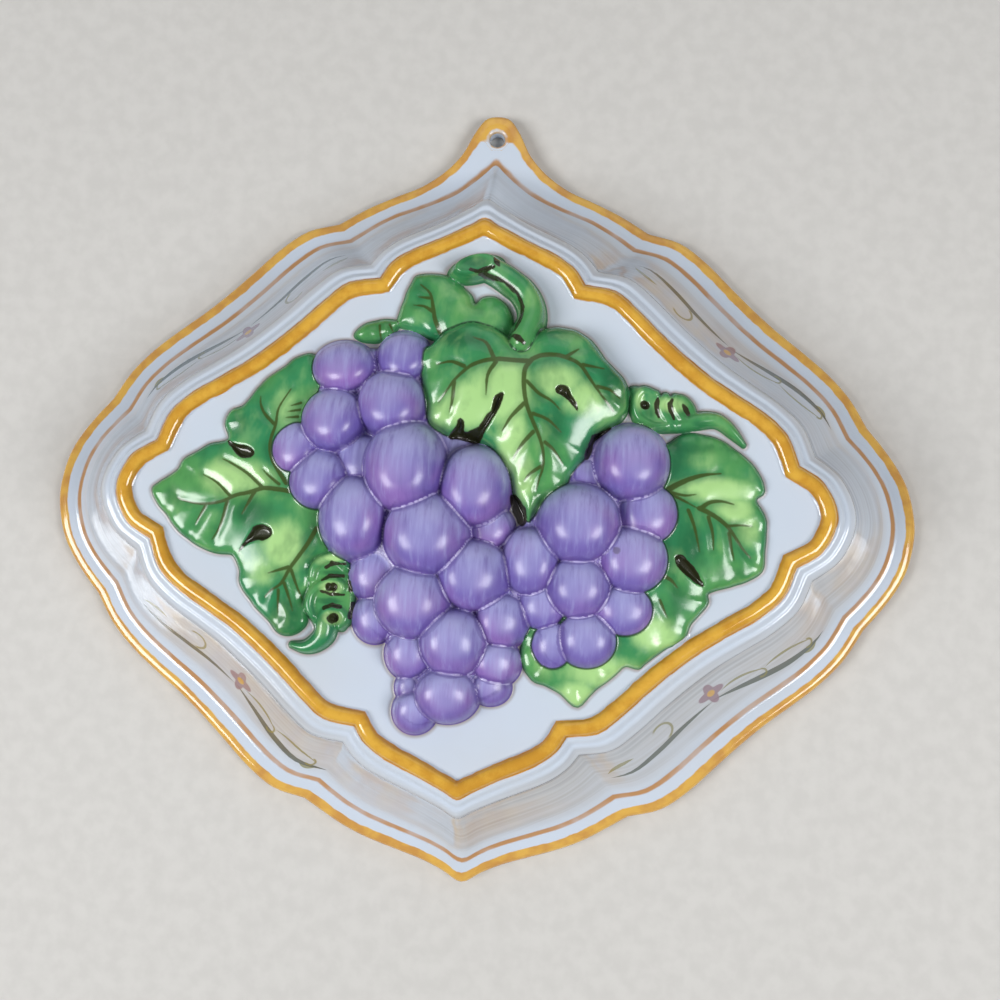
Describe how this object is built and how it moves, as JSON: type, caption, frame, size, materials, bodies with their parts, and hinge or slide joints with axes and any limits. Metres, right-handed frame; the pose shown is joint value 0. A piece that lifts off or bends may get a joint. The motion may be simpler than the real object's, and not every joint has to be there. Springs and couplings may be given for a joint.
{
  "type": "ceramic jelly mold",
  "caption": "Hollow glazed porcelain jelly mold with a flared scalloped skirt and grapes and vine leaves in relief, with a hanging lug.",
  "frame": {"origin": "under the middle of the whole outline, lug included, in the plane of the open rim", "axes": "+X across the face, +Y towards the hanging lug, +Z out of the decorated face"},
  "size_m": [0.216, 0.194, 0.047],
  "materials": {
    "glazed_porcelain": "glossy clear glaze over white porcelain, with the relief, band and edge painted under it"
  },
  "bodies": {
    "root": {"jelly_mold": "glazed_porcelain"}
  },
  "joints": []
}
